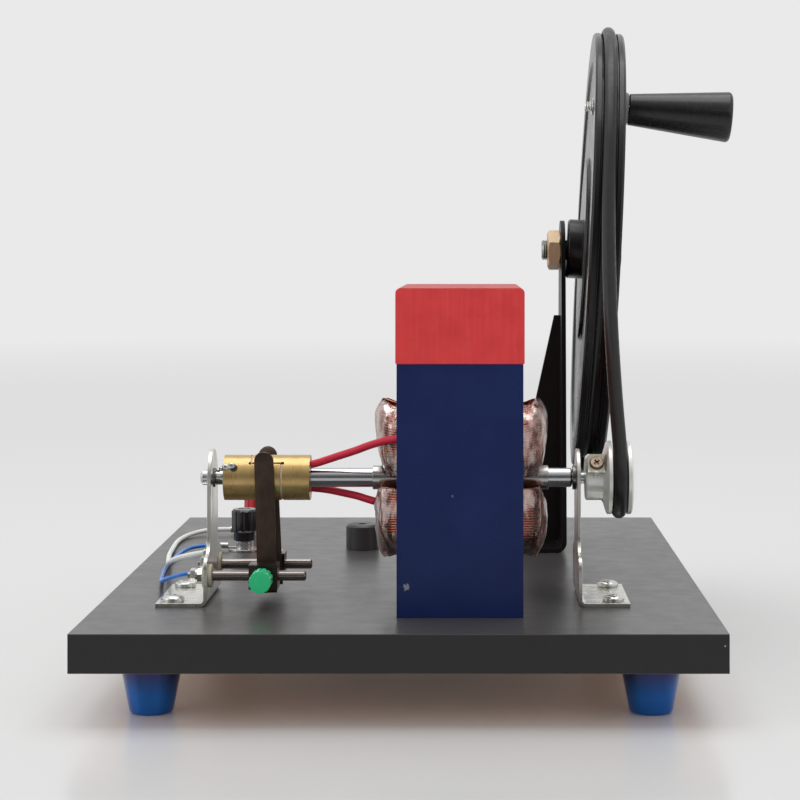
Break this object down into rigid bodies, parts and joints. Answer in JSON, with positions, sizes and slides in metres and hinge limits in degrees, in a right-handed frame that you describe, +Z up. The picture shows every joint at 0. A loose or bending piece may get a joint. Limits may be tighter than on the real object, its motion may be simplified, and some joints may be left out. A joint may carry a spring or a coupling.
{
  "type": "hand crank generator",
  "caption": "Belt-driven demonstration generator on a footed board: cranked wheel, horseshoe magnet, two-coil armature with split commutator, sliding brushes and output posts.",
  "frame": {"origin": "on the table, under the middle of the whole object's box", "axes": "+X to the right along the armature shaft, towards the wheel and its crank; +Y away from the viewer, from the magnet towards the wheel's support; +Z up"},
  "size_m": [0.2744, 0.3373, 0.2898],
  "materials": {
    "board_laminate": "dark grey laminate with a fine grain",
    "foot_plastic": "glossy blue moulding",
    "zinc_hardware": "bright zinc plate",
    "zinc_sheet": "zinc-plated sheet steel",
    "blue_paint": "glossy dark blue enamel",
    "red_paint": "glossy red enamel",
    "bearing_bronze": "dull bronze",
    "shaft_steel": "bright ground steel",
    "core_iron": "bare machined iron",
    "insulation_card": "cream insulating card",
    "enamelled_copper": "enamelled copper wire",
    "red_insulation": "soft red sleeving",
    "dark_fibre": "dark moulded insulation",
    "commutator_brass": "turned brass, slightly dulled",
    "cast_alloy": "machined cast alloy",
    "yellow_zinc": "yellow passivated steel",
    "nickel_rod": "nickel-plated rod",
    "tinned_tag": "tinned sheet with solder",
    "dark_bronze": "dark oxidised phosphor bronze",
    "green_plastic": "glossy green moulding",
    "white_plastic": "glossy white moulding",
    "blue_insulation": "soft blue insulation",
    "white_insulation": "soft white insulation",
    "black_paint": "black enamel",
    "dark_hardware": "blackened steel",
    "wheel_plastic": "glossy black moulding",
    "belt_rubber": "satin black rubber",
    "grip_plastic": "satin black moulding",
    "stud_brass": "plated brass",
    "black_cap_plastic": "glossy black moulding",
    "red_cap_plastic": "glossy red moulding"
  },
  "bodies": {
    "frame": {"base_board": "board_laminate", "feet": "foot_plastic", "foot_screws": "zinc_hardware", "magnet_front_leg": "blue_paint", "magnet_yoke": "red_paint", "magnet_rear_leg": "red_paint", "magnet_screws": "zinc_hardware", "left_bearing_bracket": "zinc_sheet", "right_bearing_bracket": "zinc_sheet", "bracket_screws": "zinc_hardware", "left_bearing_bush": "bearing_bronze", "right_bearing_bush": "bearing_bronze", "front_brush_rod": "nickel_rod", "rear_brush_rod": "nickel_rod", "rod_bushes": "insulation_card", "rod_nuts": "zinc_hardware", "lead_tags": "tinned_tag", "blue_lead": "blue_insulation", "white_lead": "white_insulation", "wheel_support": "black_paint", "support_screws": "dark_hardware", "axle_bolt": "zinc_hardware", "axle_nut": "yellow_zinc", "axle_washer": "yellow_zinc", "drive_belt": "belt_rubber", "terminal_studs": "stud_brass", "terminal_washers": "zinc_hardware", "terminal_nuts": "zinc_hardware", "lamp_socket": "dark_fibre"},
    "wheel": {"drive_wheel": "wheel_plastic", "handle_bolt": "zinc_hardware", "handle_nut": "zinc_hardware", "handle_collar": "wheel_plastic"},
    "grip": {"crank_grip": "grip_plastic"},
    "rotor": {"rotor_shaft": "shaft_steel", "shaft_nut": "zinc_hardware", "armature_core": "core_iron", "shaft_insulation": "insulation_card", "upper_coil_inner_turns": "enamelled_copper", "lower_coil_inner_turns": "enamelled_copper", "upper_coil_winding": "enamelled_copper", "lower_coil_winding": "enamelled_copper", "upper_red_lead": "red_insulation", "lower_red_lead": "red_insulation", "commutator_core": "dark_fibre", "commutator_left_sleeve": "commutator_brass", "commutator_right_sleeve": "commutator_brass", "commutator_screw": "zinc_hardware", "pulley": "cast_alloy", "pulley_set_screw": "yellow_zinc"},
    "front_brush": {"front_brush_block": "dark_bronze", "front_brush_strip": "dark_bronze"},
    "rear_brush": {"rear_brush_block": "dark_bronze", "rear_brush_strip": "dark_bronze"},
    "front_clamp": {"front_thumb_screw": "green_plastic"},
    "rear_clamp": {"rear_thumb_screw": "white_plastic"},
    "black_cap": {"black_post_cap": "black_cap_plastic"},
    "red_cap": {"red_post_cap": "red_cap_plastic"}
  },
  "joints": [
    {"name": "wheel_turn", "type": "hinge", "parent": "frame", "child": "wheel", "pos_m": [0.07679, 0.05977, 0.181], "axis": [0.9984, -0.0244, -0.0506], "continuous": true},
    {"name": "grip_spin", "type": "hinge", "parent": "wheel", "child": "grip", "pos_m": [0.11267, 0.01068, 0.24475], "axis": [0.9965, -0.0244, -0.0802], "continuous": true},
    {"name": "rotor_turn", "type": "hinge", "parent": "frame", "child": "rotor", "pos_m": [0.0108, -0.08775, 0.086], "axis": [1, 0, 0], "continuous": true},
    {"name": "front_brush_slide", "type": "slide", "parent": "frame", "child": "front_brush", "axis": [1, 0, 0], "range_m": [-0.013, 0.011]},
    {"name": "rear_brush_slide", "type": "slide", "parent": "frame", "child": "rear_brush", "axis": [1, 0, 0], "range_m": [-0.013, 0.011]},
    {"name": "front_clamp_turn", "type": "hinge", "parent": "front_brush", "child": "front_clamp", "pos_m": [-0.06965, -0.11, 0.0475], "axis": [0, 1, 0], "range_deg": [0, 360]},
    {"name": "rear_clamp_turn", "type": "hinge", "parent": "rear_brush", "child": "rear_clamp", "pos_m": [-0.06965, -0.065, 0.0475], "axis": [0, -1, 0], "range_deg": [0, 360]},
    {"name": "black_cap_turn", "type": "hinge", "parent": "frame", "child": "black_cap", "pos_m": [-0.0942, 0.04225, 0.05], "axis": [0, 0, 1], "range_deg": [0, 720]},
    {"name": "red_cap_turn", "type": "hinge", "parent": "frame", "child": "red_cap", "pos_m": [-0.0942, 0.09625, 0.05], "axis": [0, 0, 1], "range_deg": [0, 720]}
  ],
  "couplings": [
    {"joint": "rotor_turn", "follows": "wheel_turn", "ratio": 7.5714}
  ]
}
